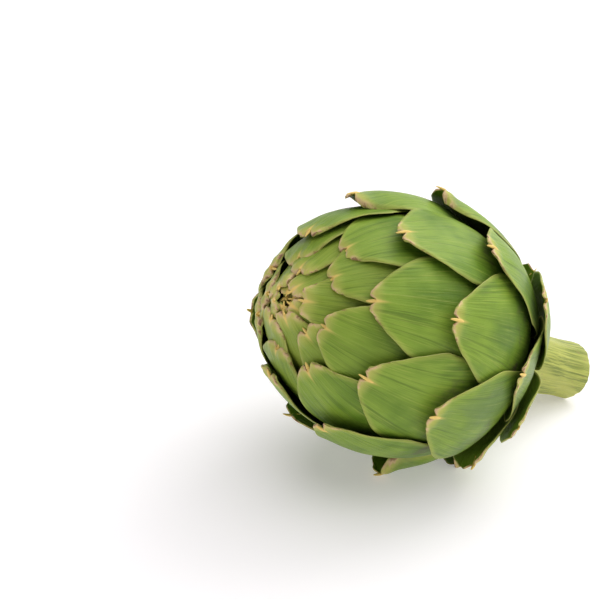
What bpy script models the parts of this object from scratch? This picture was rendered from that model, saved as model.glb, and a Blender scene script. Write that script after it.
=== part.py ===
"""A globe artichoke lying on its side, as picked.

Bracts stand on a round heart in one golden-angle spiral.  The heart and the stalk are one grown
piece, and the choke sits in the heart's hollow under the tightly packed innermost bracts.

All shapes are worked out in the bud's own frame, in degrees of latitude about the bud's middle:
latitude -90 is the stalk, 0 the widest girth and +90 the tip.  One empty lays the bud down.
Metres, +Z up.  The part rests on z = 0, on one bract's flat spot and on the edge of the stalk's end.
"""

import math

import bmesh
import bpy
import numpy as np
from mathutils import Vector

MM = 0.001

# The bud as it lies.
TILT = 27.0
FLAT_DEPTH = 0.6 * MM
LOWEST_RADIUS = 51.2 * MM
BUD_HEIGHT = LOWEST_RADIUS - FLAT_DEPTH

# The spiral of bracts, ranked from the innermost, 1, to the outermost.
BRACTS = 50
GOLDEN_ANGLE = 137.508
FIRST_AZIMUTH = 130.9
OUTER_TWIST = 14.0
TWIST_RANKS = (27, 31)
INNER_BRACTS = 14
TIP_MIDDLE = 19.0
TIP_SWING = 55.0
TIP_STEP = 5.0
# The innermost tips' distance from the pole, in degrees, from the first to the last of them.
CROWN_ANGLE = (1.8, 16.0)
CROWN_CROWDING = 2.2
# How far some bracts stand from the rule: rank, then azimuth and tip latitude in degrees.
QUIRKS = {
    15: (-14, -1),
    16: (-12, 2),
    17: (-7, 2),
    18: (-12, -3),
    19: (-10, -4),
    22: (-7, -3),
    24: (3, 9),
    28: (6, 5),
    30: (-3, -2),
    32: (-2, 22),
    33: (7, 6),
    35: (-5, 3),
    36: (0, -6),
    38: (0, -3),
    40: (4, 22),
    41: (3, -3),
    43: (-3, 12),
    44: (2, 8),
    46: (-3, 8),
    48: (0, -8),
    49: (0, 1),
}

# The nest of shells that the bracts lie on: one profile, moved outwards by a layer for each rank.
PROFILE = ((-75, 44.0), (-50, 46.3), (-25, 48.3), (0, 48.5), (30, 51.7), (60, 59.5), (85, 67.5))
PROFILE_RANK = 38
LAYER = 0.44 * MM
OPENING = 4.8 * MM
OPENING_RANKS = (8, 46)
OPENING_LATITUDES = (-75.0, -5.0)
OPEN_EVERYWHERE = 0.35
# Sides where the bracts stand further out or lie closer: azimuth, reach in degrees, share.
OPEN_SIDES = ((262, 42, 0.7), (192, 26, -0.75), (125, 25, 0.5), (46, 25, 0.5), (0, 25, -0.1))
SWELL = 2.3 * MM
SWELL_SIDE = (302.0, 45.0)
SWELL_RANKS = (2, 13)
SWELL_LATITUDES = (10.0, 50.0)

# One bract.
WIDEST = 20.0 * MM
INNER_WIDEST = 11.0 * MM
OUTER_WIDEST = 11.0 * MM
WIDENING_RANKS = (1, 26)
NARROWING_RANKS = (40, 49)
WIDEST_AT = 22.0 * MM
SHOULDER = 3.4 * MM
CLAW = 5.5 * MM
SHOULDER_ROUNDNESS = 0.95
CLAW_ROUNDNESS = 0.9
BRACT_THICKNESS = 1.25 * MM
INNER_THICKNESS = 0.9 * MM
THICKENING_RANKS = (6, 24)
EDGE_SHARE = 0.38
FULL_THICKNESS_AT = 0.4
WIDEST_TURN = 42.0
POINT = 2.2 * MM
POINT_NARROWNESS = 3.0
CURL = 1.2 * MM
CURL_LENGTH = 10.0 * MM
CURL_RANKS = (20, 36)
BASE_LATITUDE = (-44.0, -74.0)
BASE_CROWDING = 0.9
ACROSS = 6
ALONG = 6
ROW_CROWDING = 1.35

# Heart, stalk, choke and the innermost bud.
GAP = 0.35 * MM
BASE_CLEARANCE = 2.3
HEART_STEPS = 11
STALK_RADIUS = 10.0 * MM
STALK_WAIST = 9.4 * MM
STALK_FLARE = 4.0 * MM
STALK_TAPER = 12.0 * MM
STALK_RIM = 0.8 * MM
HEART_HOLLOW = 4.5 * MM
# The hollow's floor: shares of the rim's radius and of the hollow's depth below the rim.
HOLLOW_FLOOR = ((0.0, 1.0), (0.45, 0.8), (0.86, 0.12))
CHOKE_HEIGHT = 22.0 * MM
# The choke's dome: shares of the rim's radius and of the choke's height.
CHOKE_DOME = ((0.0, 1.0), (0.30, 0.94), (0.55, 0.76), (0.73, 0.50))
CHOKE_FOOT = (0.80, 0.45)
CHOKE_CLEARANCE = 1.2 * MM
BUD_LATITUDES = (84, 70, 55, 40, 25, 8, -8, -22, -34)
BUD_FOOT = (0.97, 0.88)
PORE_RADIUS = 1.6 * MM
PORE_WAIST = 0.9
PORE_LIP = 0.4 * MM
PORE_FLOOR = 3.0 * MM
TURNED_STEPS = 24

GROUND_CLEARANCE = 0.01 * MM
SLAB_WIDTH = 0.4
SLAB_DEPTH = 0.02

GREEN_OUTER = (0.17, 0.26, 0.075)
GREEN_INNER = (0.36, 0.42, 0.13)
STALK_GREEN = (0.42, 0.50, 0.19)
CHOKE_CREAM = (0.78, 0.70, 0.47)
BUD_YELLOW = (0.62, 0.62, 0.27)


def clear_scene():
    for obj in list(bpy.data.objects):
        bpy.data.objects.remove(obj, do_unlink=True)


def new_collection(name, shown=True):
    collection = bpy.data.collections.new(name)
    bpy.context.scene.collection.children.link(collection)
    collection.hide_render = not shown
    return collection


def finish(name, colour, roughness):
    material = bpy.data.materials.new(name)
    material.use_nodes = True
    shader = material.node_tree.nodes["Principled BSDF"]
    shader.inputs["Base Color"].default_value = (*colour, 1.0)
    shader.inputs["Roughness"].default_value = roughness
    shader.inputs["Metallic"].default_value = 0.0
    return material


def ramp(value, low, high):
    """0 below low, 1 above high, and a smooth step between them."""
    share = np.clip((value - low) / (high - low), 0.0, 1.0)
    return share * share * (3.0 - 2.0 * share)


PROFILE_CURVE = np.polynomial.Polynomial.fit(*np.array(PROFILE).T, 4)


def shell_radius(rank, latitude):
    """Distance from the bud's middle to the outside of a bract of this rank, still closed."""
    return PROFILE_CURVE(latitude) * MM + LAYER * (rank - PROFILE_RANK)


def azimuth_of(rank):
    """Degrees about the bud's axis, from its underside towards its front."""
    quirk = QUIRKS.get(rank, (0, 0))[0]
    twist = OUTER_TWIST * ramp(rank, *TWIST_RANKS)
    return FIRST_AZIMUTH - GOLDEN_ANGLE * (rank - 1) + twist + quirk


def tip_latitude(rank):
    if rank <= INNER_BRACTS:
        share = ((rank - 1) / (INNER_BRACTS - 1)) ** CROWN_CROWDING
        return 90.0 - CROWN_ANGLE[0] - (CROWN_ANGLE[1] - CROWN_ANGLE[0]) * share
    quirk = QUIRKS.get(rank, (0, 0))[1]
    turn = math.radians(TIP_STEP * (rank - INNER_BRACTS))
    return TIP_MIDDLE + TIP_SWING * math.cos(turn) + quirk


def base_latitude(rank):
    inner, outer = BASE_LATITUDE
    return inner + (outer - inner) * ((rank - 1) / (BRACTS - 1)) ** BASE_CROWDING


def lobe(azimuth, middle, width):
    """1 at the middle azimuth, falling smoothly to nothing about two widths to either side."""
    turn = (azimuth - middle + 180.0) % 360.0 - 180.0
    return np.exp(-((turn / width) ** 2))


def opening(rank, azimuth, latitude):
    """How far a bract of this rank stands out from its shell at one place."""
    side = OPEN_EVERYWHERE
    for middle, width, share in OPEN_SIDES:
        side = side + share * lobe(azimuth, middle, width)
    opened = OPENING * ramp(rank, *OPENING_RANKS) * side * ramp(latitude, *OPENING_LATITUDES)
    swell_side = lobe(azimuth, *SWELL_SIDE) * ramp(latitude, *SWELL_LATITUDES)
    return opened + SWELL * ramp(rank, *SWELL_RANKS) * swell_side


def half_width(rank, from_tip, length):
    """Half the bract's width at a distance below its tip."""
    widest = INNER_WIDEST + (WIDEST - INNER_WIDEST) * ramp(rank, *WIDENING_RANKS)
    widest -= (WIDEST - OUTER_WIDEST) * ramp(rank, *NARROWING_RANKS)
    widest_at = WIDEST_AT * widest / WIDEST
    rise = np.clip(from_tip / widest_at, 0.0, 1.0)
    fall = np.clip((from_tip - widest_at) / (length - widest_at), 0.0, 1.0)
    upper = SHOULDER + (widest - SHOULDER) * np.sin(0.5 * math.pi * rise**SHOULDER_ROUNDNESS)
    lower = CLAW + (widest - CLAW) * np.cos(0.5 * math.pi * fall) ** CLAW_ROUNDNESS
    return np.where(from_tip < widest_at, upper, lower)


def place(latitude, azimuth, radius):
    """The point at a latitude and an azimuth, both in degrees, in the bud's frame."""
    up = math.radians(latitude)
    around = math.radians(azimuth)
    level = radius * math.cos(up)
    return Vector((level * math.cos(around), level * math.sin(around), radius * math.sin(up)))


def bract_point(rank, across, along):
    """The outside of a bract; across runs from -1 to 1 and along from 0 at its tip to 1 at its base."""
    tip = tip_latitude(rank)
    base = base_latitude(rank)
    latitude = tip + (base - tip) * along**ROW_CROWDING
    middle_radius = shell_radius(rank, 0.5 * (tip + base))
    from_tip = math.radians(tip - latitude) * middle_radius
    length = math.radians(tip - base) * middle_radius
    radius = shell_radius(rank, latitude)
    level = radius * math.cos(math.radians(latitude))
    spread = math.degrees(half_width(rank, from_tip, length) / level)
    azimuth = across * min(spread, WIDEST_TURN)
    radius += float(opening(rank, azimuth + azimuth_of(rank), latitude))
    radius += CURL * ramp(rank, *CURL_RANKS) * max(0.0, 1.0 - from_tip / CURL_LENGTH) ** 2
    if along == 0.0:
        latitude += math.degrees(POINT / radius) * max(0.0, 1.0 - POINT_NARROWNESS * abs(across))
    return place(latitude, azimuth, radius)


def bract_share(across, along):
    """The bract's thickness at one place, as a share of its full thickness."""
    edge = 1.0 - (1.0 - EDGE_SHARE) * abs(across) ** 2
    return edge * (EDGE_SHARE + (1.0 - EDGE_SHARE) * min(1.0, along / FULL_THICKNESS_AT))


def make_bract(rank, frame, collection):
    """One scale-like leaf of the bud: an open sheet on its shell, given its thickness inwards."""
    name = f"bract_{rank:02d}"
    bm = bmesh.new()
    bmesh.ops.create_grid(bm, x_segments=ACROSS, y_segments=ALONG, size=1.0)
    shares = []
    for vert in bm.verts:
        across = vert.co.x
        along = 0.5 * (1.0 - vert.co.y)
        shares.append(bract_share(across, along))
        vert.co = bract_point(rank, across, along)
    mesh = bpy.data.meshes.new(name)
    bm.to_mesh(mesh)
    bm.free()
    mesh.shade_smooth()
    bract = bpy.data.objects.new(name, mesh)
    collection.objects.link(bract)
    bract.parent = frame
    bract.rotation_euler.z = math.radians(azimuth_of(rank))

    group = bract.vertex_groups.new(name="thickness")
    for index, share in enumerate(shares):
        group.add([index], share, "REPLACE")
    shell = bract.modifiers.new("Thickness", "SOLIDIFY")
    shell.thickness = INNER_THICKNESS + (BRACT_THICKNESS - INNER_THICKNESS) * ramp(rank, *THICKENING_RANKS)
    shell.offset = -1.0
    shell.vertex_group = group.name

    age = (rank - 1) / (BRACTS - 1)
    colour = [inner + (outer - inner) * age for inner, outer in zip(GREEN_INNER, GREEN_OUTER)]
    mesh.materials.append(finish(name, colour, 0.5))
    return bract


def meridian(rank, latitude, inset):
    """A point (r, z) of a turned profile, this far inside the shell of a rank."""
    radius = shell_radius(rank, latitude) - inset
    angle = math.radians(latitude)
    return radius * math.cos(angle), radius * math.sin(angle)


def heart_side():
    """The heart's outside from rim to stalk, where the bracts' bases stand on it."""
    ranks = np.linspace(1, BRACTS, HEART_STEPS)
    points = []
    for rank in ranks:
        latitude = base_latitude(rank)
        points.append(meridian(rank, latitude - BASE_CLEARANCE, 0.0))
    return points


def stalk_length():
    """From the bud's middle to the stalk's cut end, so that the end's edge just meets the ground."""
    tilt = math.radians(TILT)
    return (BUD_HEIGHT - STALK_RADIUS * math.cos(tilt)) / math.sin(tilt)


def heart_and_stalk_profile():
    side = heart_side()
    rim_radius, rim_height = side[0]
    junction_height = side[-1][1]
    end = -stalk_length()
    hollow = [(across * rim_radius, rim_height - deep * HEART_HOLLOW) for across, deep in HOLLOW_FLOOR]
    stalk = [
        (STALK_RADIUS, junction_height - STALK_FLARE),
        (STALK_WAIST, junction_height - STALK_TAPER),
        (STALK_WAIST, end + STALK_TAPER),
        (STALK_RADIUS, end + STALK_RIM),
        (STALK_RADIUS, end),
        (0.0, end),
    ]
    return hollow + side + stalk


def choke_profile():
    rim_radius, rim_height = heart_side()[0]
    floor = rim_height - HEART_HOLLOW + GAP
    dome = [(across * rim_radius, floor + high * CHOKE_HEIGHT) for across, high in CHOKE_DOME]
    foot_height = floor + (1.0 - HOLLOW_FLOOR[1][1]) * HEART_HOLLOW + GAP
    foot = [
        (CHOKE_FOOT[0] * rim_radius, rim_height + 2.0 * GAP),
        (CHOKE_FOOT[1] * rim_radius, foot_height),
        (0.0, floor),
    ]
    return dome + foot


def innermost_bud_profile():
    """Outside under the first bract's shell, inside over the choke, with the small pore at the tip."""
    inset = INNER_THICKNESS + 3.0 * GAP
    outside = [meridian(1, latitude, inset) for latitude in BUD_LATITUDES]
    choke = choke_profile()
    rim_radius, rim_height = heart_side()[0]
    sole = rim_height + 1.5 * GAP
    inside = [(r + CHOKE_CLEARANCE, z + CHOKE_CLEARANCE) for r, z in choke[1 : len(CHOKE_DOME)]]
    inside.reverse()
    foot = [(across * rim_radius, sole) for across in BUD_FOOT]
    crown = choke[0][1] + CHOKE_CLEARANCE
    pore = [(PORE_WAIST * PORE_RADIUS, crown + PORE_FLOOR), (PORE_RADIUS, outside[0][1] - PORE_LIP)]
    return outside + foot + inside + pore


def turned(name, profile, frame, collection, colour, closed=False):
    """A profile in the X-Z plane, turned about the bud's axis."""
    bm = bmesh.new()
    verts = [bm.verts.new((r, 0.0, z)) for r, z in profile]
    for first, second in zip(verts, verts[1:]):
        bm.edges.new((first, second))
    if closed:
        bm.edges.new((verts[-1], verts[0]))
    mesh = bpy.data.meshes.new(name)
    bm.to_mesh(mesh)
    bm.free()
    body = bpy.data.objects.new(name, mesh)
    collection.objects.link(body)
    body.parent = frame
    screw = body.modifiers.new("Turn", "SCREW")
    screw.steps = TURNED_STEPS
    screw.render_steps = TURNED_STEPS
    screw.use_merge_vertices = True
    screw.merge_threshold = 0.00005
    screw.use_smooth_shade = True
    mesh.materials.append(finish(name, colour, 0.6))
    return body


def make_ground_cutter(collection):
    """A slab under z = 0, which leaves the flat spot on what would reach below it."""
    bpy.ops.mesh.primitive_cube_add(size=1.0, location=(0.0, 0.0, -0.5 * SLAB_DEPTH))
    slab = bpy.context.object
    slab.name = "ground_cutter"
    slab.scale = (SLAB_WIDTH, SLAB_WIDTH, SLAB_DEPTH)
    slab.display_type = "WIRE"
    slab.hide_render = True
    for owner in list(slab.users_collection):
        owner.objects.unlink(slab)
    collection.objects.link(slab)
    return slab


def world_corners(obj):
    """Lowest and highest corner of the finished object, in the world."""
    graph = bpy.context.evaluated_depsgraph_get()
    solid = obj.evaluated_get(graph)
    mesh = solid.to_mesh()
    points = np.array([solid.matrix_world @ vert.co for vert in mesh.vertices])
    solid.to_mesh_clear()
    return points.min(axis=0), points.max(axis=0)


def flatten_on_ground(obj, slab):
    cut = obj.modifiers.new("Flat spot", "BOOLEAN")
    cut.operation = "DIFFERENCE"
    cut.solver = "EXACT"
    cut.object = slab


def centre_over_origin(frame, parts):
    corners = [world_corners(part) for part in parts]
    lowest = np.min([low for low, _ in corners], axis=0)
    highest = np.max([high for _, high in corners], axis=0)
    middle = 0.5 * (lowest + highest)
    frame.location.x -= middle[0]
    frame.location.y -= middle[1]


def build():
    clear_scene()
    artichoke = new_collection("artichoke")
    cutters = new_collection("cutters", shown=False)

    frame = bpy.data.objects.new("bud_frame", None)
    artichoke.objects.link(frame)
    frame.rotation_euler = (0.0, math.radians(90.0 - TILT), math.pi)
    frame.location.z = BUD_HEIGHT

    parts = [
        turned("heart_and_stalk", heart_and_stalk_profile(), frame, artichoke, STALK_GREEN),
        turned("choke", choke_profile(), frame, artichoke, CHOKE_CREAM),
        turned("innermost_bud", innermost_bud_profile(), frame, artichoke, BUD_YELLOW, closed=True),
    ]
    parts += [make_bract(rank, frame, artichoke) for rank in range(1, BRACTS + 1)]

    slab = make_ground_cutter(cutters)
    bpy.context.view_layer.update()
    for part in parts:
        if world_corners(part)[0][2] < -GROUND_CLEARANCE:
            flatten_on_ground(part, slab)
    centre_over_origin(frame, parts)


build()
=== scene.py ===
"""A globe artichoke lying on its side, as picked: materials, fine shape, light and camera.

Each piece of the frame is made again here: the bracts on their own shells, with the frame's own
spiral, the innermost bud, the choke, and the heart with its stalk.  The bracts get notched tips,
thorns, mid-veins, ragged margins and ribs, and some stand fuller or lean further than in the frame.
Shapes are worked out in the bud's own frame, in degrees of latitude about the bud's middle: -90 is
the stalk, 0 the widest girth and +90 the tip.
"""

import math

import bpy
import numpy as np
from mathutils import Matrix, Vector, noise


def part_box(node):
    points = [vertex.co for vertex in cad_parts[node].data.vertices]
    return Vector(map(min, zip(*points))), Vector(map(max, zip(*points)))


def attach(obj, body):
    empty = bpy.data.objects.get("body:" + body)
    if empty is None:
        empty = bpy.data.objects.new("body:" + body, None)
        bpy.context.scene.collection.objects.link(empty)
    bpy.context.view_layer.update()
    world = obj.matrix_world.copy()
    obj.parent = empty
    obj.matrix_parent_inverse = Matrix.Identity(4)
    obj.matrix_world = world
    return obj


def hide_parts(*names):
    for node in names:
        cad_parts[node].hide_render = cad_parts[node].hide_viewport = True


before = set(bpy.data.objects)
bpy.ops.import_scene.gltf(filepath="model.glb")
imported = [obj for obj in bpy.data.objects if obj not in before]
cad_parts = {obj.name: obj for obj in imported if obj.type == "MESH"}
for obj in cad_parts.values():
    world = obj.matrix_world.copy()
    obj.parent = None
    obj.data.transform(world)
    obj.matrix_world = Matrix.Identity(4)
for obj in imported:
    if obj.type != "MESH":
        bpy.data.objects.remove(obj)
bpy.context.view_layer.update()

MM = 0.001

# The bud as it lies, and its bracts.  These are the frame's own values, but for CROWN_ANGLE and
# SWELL_RANKS, which close up and fill out the young bracts round the pore.
TILT = 27.0
BUD_HEIGHT = 50.6 * MM
BRACTS = 50
GOLDEN_ANGLE = 137.508
FIRST_AZIMUTH = 130.9
OUTER_TWIST = 14.0
TWIST_RANKS = (27, 31)
INNER_BRACTS = 14
TIP_MIDDLE = 19.0
TIP_SWING = 55.0
TIP_STEP = 5.0
# The innermost tips' distance from the pole, in degrees, from the first to the last of them.
CROWN_ANGLE = (0.9, 16.0)
CROWN_CROWDING = 2.2
# How far some bracts stand from the rule: rank, then azimuth and tip latitude in degrees.
QUIRKS = {
    15: (-14, -1),
    16: (-12, 2),
    17: (-7, 2),
    18: (-12, -3),
    19: (-10, -4),
    22: (-7, -3),
    24: (3, 9),
    28: (6, 5),
    30: (-3, -2),
    32: (-2, 22),
    33: (7, 6),
    35: (-5, 3),
    36: (0, -6),
    38: (0, -3),
    40: (4, 22),
    41: (3, -3),
    43: (-3, 12),
    44: (2, 8),
    46: (-3, 8),
    48: (0, -8),
    49: (0, 1),
}
PROFILE = ((-75, 44.0), (-50, 46.3), (-25, 48.3), (0, 48.5), (30, 51.7), (60, 59.5), (85, 67.5))
PROFILE_RANK = 38
LAYER = 0.44 * MM
OPENING = 4.8 * MM
OPENING_RANKS = (8, 46)
OPENING_LATITUDES = (-75.0, -5.0)
OPEN_EVERYWHERE = 0.35
# Sides where the bracts stand further out or lie closer: azimuth, reach in degrees, share.
OPEN_SIDES = ((262, 42, 0.7), (192, 26, -0.75), (125, 25, 0.5), (46, 25, 0.5), (0, 25, -0.1))
SWELL = 2.3 * MM
SWELL_SIDE = (302.0, 45.0)
SWELL_RANKS = (-8, 4)
SWELL_LATITUDES = (10.0, 50.0)
WIDEST = 20.0 * MM
INNER_WIDEST = 11.0 * MM
OUTER_WIDEST = 11.0 * MM
WIDENING_RANKS = (1, 26)
NARROWING_RANKS = (40, 49)
WIDEST_AT = 22.0 * MM
SHOULDER = 3.4 * MM
CLAW = 5.5 * MM
STRAIGHTNESS = 1.32
CLAW_ROUNDNESS = 0.9
BRACT_THICKNESS = 1.25 * MM
INNER_THICKNESS = 0.9 * MM
THICKENING_RANKS = (6, 24)
EDGE_SHARE = 0.38
WIDEST_TURN = 42.0
CURL = 1.2 * MM
CURL_LENGTH = 10.0 * MM
CURL_RANKS = (20, 36)
BASE_LATITUDE = (-44.0, -74.0)
BASE_CROWDING = 0.9
GAP = 0.35 * MM
BASE_CLEARANCE = 2.3
HEART_STEPS = 11
STALK_RADIUS = 10.0 * MM
STALK_WAIST = 9.4 * MM
STALK_FLARE = 4.0 * MM
STALK_TAPER = 12.0 * MM
STALK_RIM = 0.8 * MM
HEART_HOLLOW = 4.5 * MM
# The hollow's floor: shares of the rim's radius and of the hollow's depth below the rim.
HOLLOW_FLOOR = ((0.0, 1.0), (0.45, 0.8), (0.86, 0.12))
CHOKE_HEIGHT = 22.0 * MM
# The choke's dome: shares of the rim's radius and of the choke's height.
CHOKE_DOME = ((0.0, 1.0), (0.30, 0.94), (0.55, 0.76), (0.73, 0.50))
CHOKE_CLEARANCE = 1.2 * MM
BUD_LATITUDES = (84, 70, 55, 40, 25, 8, -8, -22, -34)
BUD_FOOT = (0.97, 0.88)
# Clearances of the innermost bud, in gaps: from the bracts round it and above the heart's rim.
BUD_INSET = 3.0
BUD_RAISED = 1.5
PORE_RADIUS = 1.6 * MM
PORE_WAIST = 0.9
PORE_LIP = 0.4 * MM
PORE_FLOOR = 3.0 * MM

# Fine shape of a bract.
COLUMNS = 45
ROWS = 54
ROW_CROWDING = 1.7
COLUMN_CROWDING = 0.4
NOTCH_DEPTH = 2.6 * MM
NOTCH_WIDTH = 1.35 * MM
YOUNG_NOTCH = 0.25
NOTCH_RANKS = (3, 18)
TIP_ROUGHNESS = 0.5 * MM
TIP_ROUGHNESS_WIDTH = 1.4 * MM
CORNER_ROUNDING = 1.5 * MM
TIP_REACH = 4.5 * MM
SHOULDER_SWELL = 0.85 * MM
SHOULDER_PLACE = (2.7 * MM, 3.2 * MM)
SHOULDER_SPREAD = 2.2 * MM
YOUNG_SWELL = 0.6
MATURING_RANKS = (8, 22)
CROWN_TUCK = -1.0 * MM
TUCK = 2.8 * MM
TUCK_LENGTH = 10.0 * MM
TUCK_GROWS = (6, 15)
TUCK_FADES = (18, 32)
# Outer bracts on top and below arch more than their shell, with one margin drawn in.  Each entry:
# azimuth and width of the side, latitudes where it grows, rise, pull of the margin, and which margin.
ARCHES = (
    (193.0, 18.0, -40.0, 0.0, 2.1 * MM, 3.4 * MM, -1),
    (8.0, 30.0, -75.0, -35.0, 2.0 * MM, 2.2 * MM, 1),
    (26.0, 14.0, -75.0, -40.0, 1.5 * MM, 5.0 * MM, 1),
)
ARCH_RANKS = (29, 32)
LEAN = 2.4 * MM
LEAN_LENGTH = 16.0 * MM
LEAN_SIDE = (238.0, 32.0)
LEAN_GROWS = (10, 18)
LEAN_FADES = (36, 44)
VEIN_HEIGHT = 0.45 * MM
VEIN_WIDTH = 0.8 * MM
VEIN_LENGTH = 9.0 * MM
MARGIN_WAVE = 0.55 * MM
MARGIN_WAVE_LENGTH = 4.2 * MM
MARGIN_NICK = 0.4 * MM
MARGIN_NICK_LENGTH = 1.3 * MM
MARGIN_REACH = 11.0 * MM
FAR_WAVE = 0.35
RIB_HEIGHT = 0.11 * MM
RIB_WIDTH = 2.2 * MM
RIB_LENGTH = 16.0 * RIB_WIDTH
SWAG_HEIGHT = 0.35 * MM
SWAG_WIDTH = 13.0 * MM
SWAG_LENGTH = 17.0 * MM
FAN_CENTRE = 34.0 * MM
HUG = 0.5 * MM
HUG_PLACE = (14.0 * MM, 30.0 * MM)
LIFT = 0.6 * MM
LIFT_PLACE = (22.0 * MM, 12.0 * MM)
FLUTTER = 0.4 * MM
FLUTTER_LENGTH = 6.0 * MM
RIM_SHARE = 0.3
ROLL = 0.5 * MM
ROLL_WIDTH = 1.3 * MM
ROLL_PLACE = (12.0 * MM, 4.0 * MM)
ROUNDING_WIDTH = 0.8 * MM
THINNING_PLACE = (2.0 * MM, 14.0 * MM)
PLUMP_TIP = 1.7
THIN_TIP = 0.5
PLUMP_RANKS = (15, 31)
PLUMP_LENGTH = 12.0 * MM
INSIDE_ABOVE_GROUND = 0.2 * MM
THORN_LENGTH = 0.9 * MM
THORN_ROOT = 4.0 * MM
THORN_RADIUS = 0.62 * MM
THORN_POINT = 0.06 * MM
THORN_HOOK = 0.9 * MM
THORN_DEPTH = 0.8 * MM
THORN_LEAN = 1.6 * MM
THORN_BEND = 0.8
THORN_DROOP = 0.5
THORN_NECK = 0.4
THORN_BREADTH = 1.15
# The youngest thorns' share of the full size, what the outermost lose, and the ranks for each.
YOUNG_THORN = 0.5
THORN_RANKS = (4, 22)
THORN_LOSS = 0.45
THORN_LOSS_RANKS = (40, 46)
# Rows of the bract where the thorn takes its direction and its outward side from.
THORN_ROOT_ROW = 10
THORN_SIDE_ROW = 4
THORN_SIDES = 8
THORN_RINGS = 12
PORE_LEAVES = 5
PORE_LEAF_DEPTH = 0.5 * MM
PORE_LEAF_STEP = 0.12
# Steps in the noise from one bract to the next, for each kind of unevenness.
WAVE_SEED = 3.7
NICK_SEED = 2.9
ROUGH_SEED = 4.1
RIB_SEED = 1.9
SWAG_SEED = 6.1
FLUTTER_SEED = 5.3
GRAIN_SEED = 11.3
THORN_SEED = 2.3
# How far apart in the noise a bract's two margins are, and a thorn's lean and bend.
WAVE_SIDES = 5.0
NICK_SIDES = 7.0
FLUTTER_SIDES = 3.0
THORN_DRAWS = (0.5, 4.5)
# The third value of a bract's zone: 0 to 1 outside, where 1 is the mid-vein, and these.
KIND_INSIDE = -1.0
KIND_THORN = 2.0
THORN_EDGE = 9.0

# Fine shape of the stalk, the choke and the innermost bud.
STALK_TURNS = 144
STALK_RINGS = 44
STALK_RIB = 0.4 * MM
STALK_RIB_WIDTH = 1.9 * MM
STALK_RIB_LENGTH = 45.0 * MM
STALK_RIB_LIFT = 0.4
FURROW = (0.05, 0.4)
PEEL_DEPTH = 0.3 * MM
PEEL_WIDTH = 7.0 * MM
PEEL_LENGTH = 20.0 * MM
PEEL_LIMITS = (-0.1, 0.3)
STALK_SWELL = 2.6 * MM
SWELL_AT_CUT = 0.4
# Shares of the way from the bud's middle to the cut: where the skin starts, and the swelling's ends.
SKIN_STARTS = (0.5, 0.55)
SWELL_ENDS = (1.0, 0.6)
# Shares of the stalk's radius between which a place belongs to its skin.
SKIN_RADIUS = (0.8, 0.9)
WAIST_LENGTH = 8.0 * MM
# How far the stalk's rings keep from its top and from its cut.
RINGS_FROM = 2.0 * MM
RINGS_TO = 1.5 * MM
# The rim of the cut: height above it, share of the radius, then the shares of the rings inside it.
RIM_HEIGHT = 0.3 * MM
RIM_RADIUS = 0.985
CUT_RINGS = (0.94, 0.86, 0.74, 0.6, 0.45, 0.3, 0.15, 0.0)
CUT_DEPTH = (1.2 * MM, 0.6 * MM)
CUT_RADIUS = (9.6 * MM, 9.2 * MM)
CUT_ROUGHNESS = 0.35 * MM
CUT_ROUGHNESS_DEPTH = 2.0 * MM
CUT_ROUGHNESS_AROUND = 2.0 * MM
CUT_ROUGHNESS_ACROSS = 3.0 * MM
CUT_SMOOTH_MIDDLE = 0.4
BRISTLES = 900
BRISTLE_RADIUS = 0.16 * MM
BRISTLE_SIDES = 3
BRISTLE_FOOT = 0.8
# In millimetres: how far short of the dome bristles may end, and about how far they bend.
BRISTLE_SHORTER = 3.0
BRISTLE_BEND = 0.5
# Levels of a bristle: share of its height, and of its thickness there.
BRISTLE_LEVELS = ((0.0, 1.0), (0.5, 0.8), (1.0, 0.15))
BRISTLE_DRAW = 7
BUD_RINGS = 120
BUD_TURNS = 96
BUD_FOLD = 0.12 * MM
BUD_FOLDS = 13.0
BUD_FOLD_TWIST = 4.0 * MM
BUD_FOLD_RADIUS = (2.0 * MM, 12.0 * MM)
BUD_GRAIN = 20.0
BUD_ZONE = (5.0, 0.0, KIND_INSIDE)

# Colours.
LEAF_GREEN = (0.108, 0.212, 0.014)
LEAF_LIGHT = (0.245, 0.372, 0.042)
LEAF_DEEP = (0.050, 0.110, 0.010)
LEAF_TIP = (0.640, 0.600, 0.150)
YOUNG = (0.270, 0.320, 0.035)
BLOOM = (0.300, 0.360, 0.200)
BLUSH = (0.720, 0.500, 0.280)
PURPLE = (0.110, 0.070, 0.065)
MARGIN = (0.480, 0.490, 0.130)
BROWN = (0.260, 0.130, 0.065)
THORN = (0.820, 0.590, 0.170)
INSIDE = (0.170, 0.270, 0.025)
STALK_DARK = (0.19, 0.24, 0.025)
STALK_LIGHT = (0.44, 0.47, 0.075)
STALK_PALE = (0.58, 0.58, 0.13)
STALK_FURROW_SHADE = (0.18, 0.23, 0.025)
STALK_PEELED = (0.46, 0.48, 0.09)
STALK_FLECK = (0.34, 0.24, 0.07)
CUT_PALE = (0.62, 0.60, 0.30)
CUT_GREEN = (0.46, 0.50, 0.20)
CHOKE_DARK = (0.55, 0.42, 0.20)
CHOKE_PALE = (0.80, 0.72, 0.50)
FLOOR_DARK = (0.77, 0.75, 0.76)
FLOOR_PALE = (0.79, 0.77, 0.78)
FLOOR_LIGHT = (1.0, 0.96, 0.99, 1.0)

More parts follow.
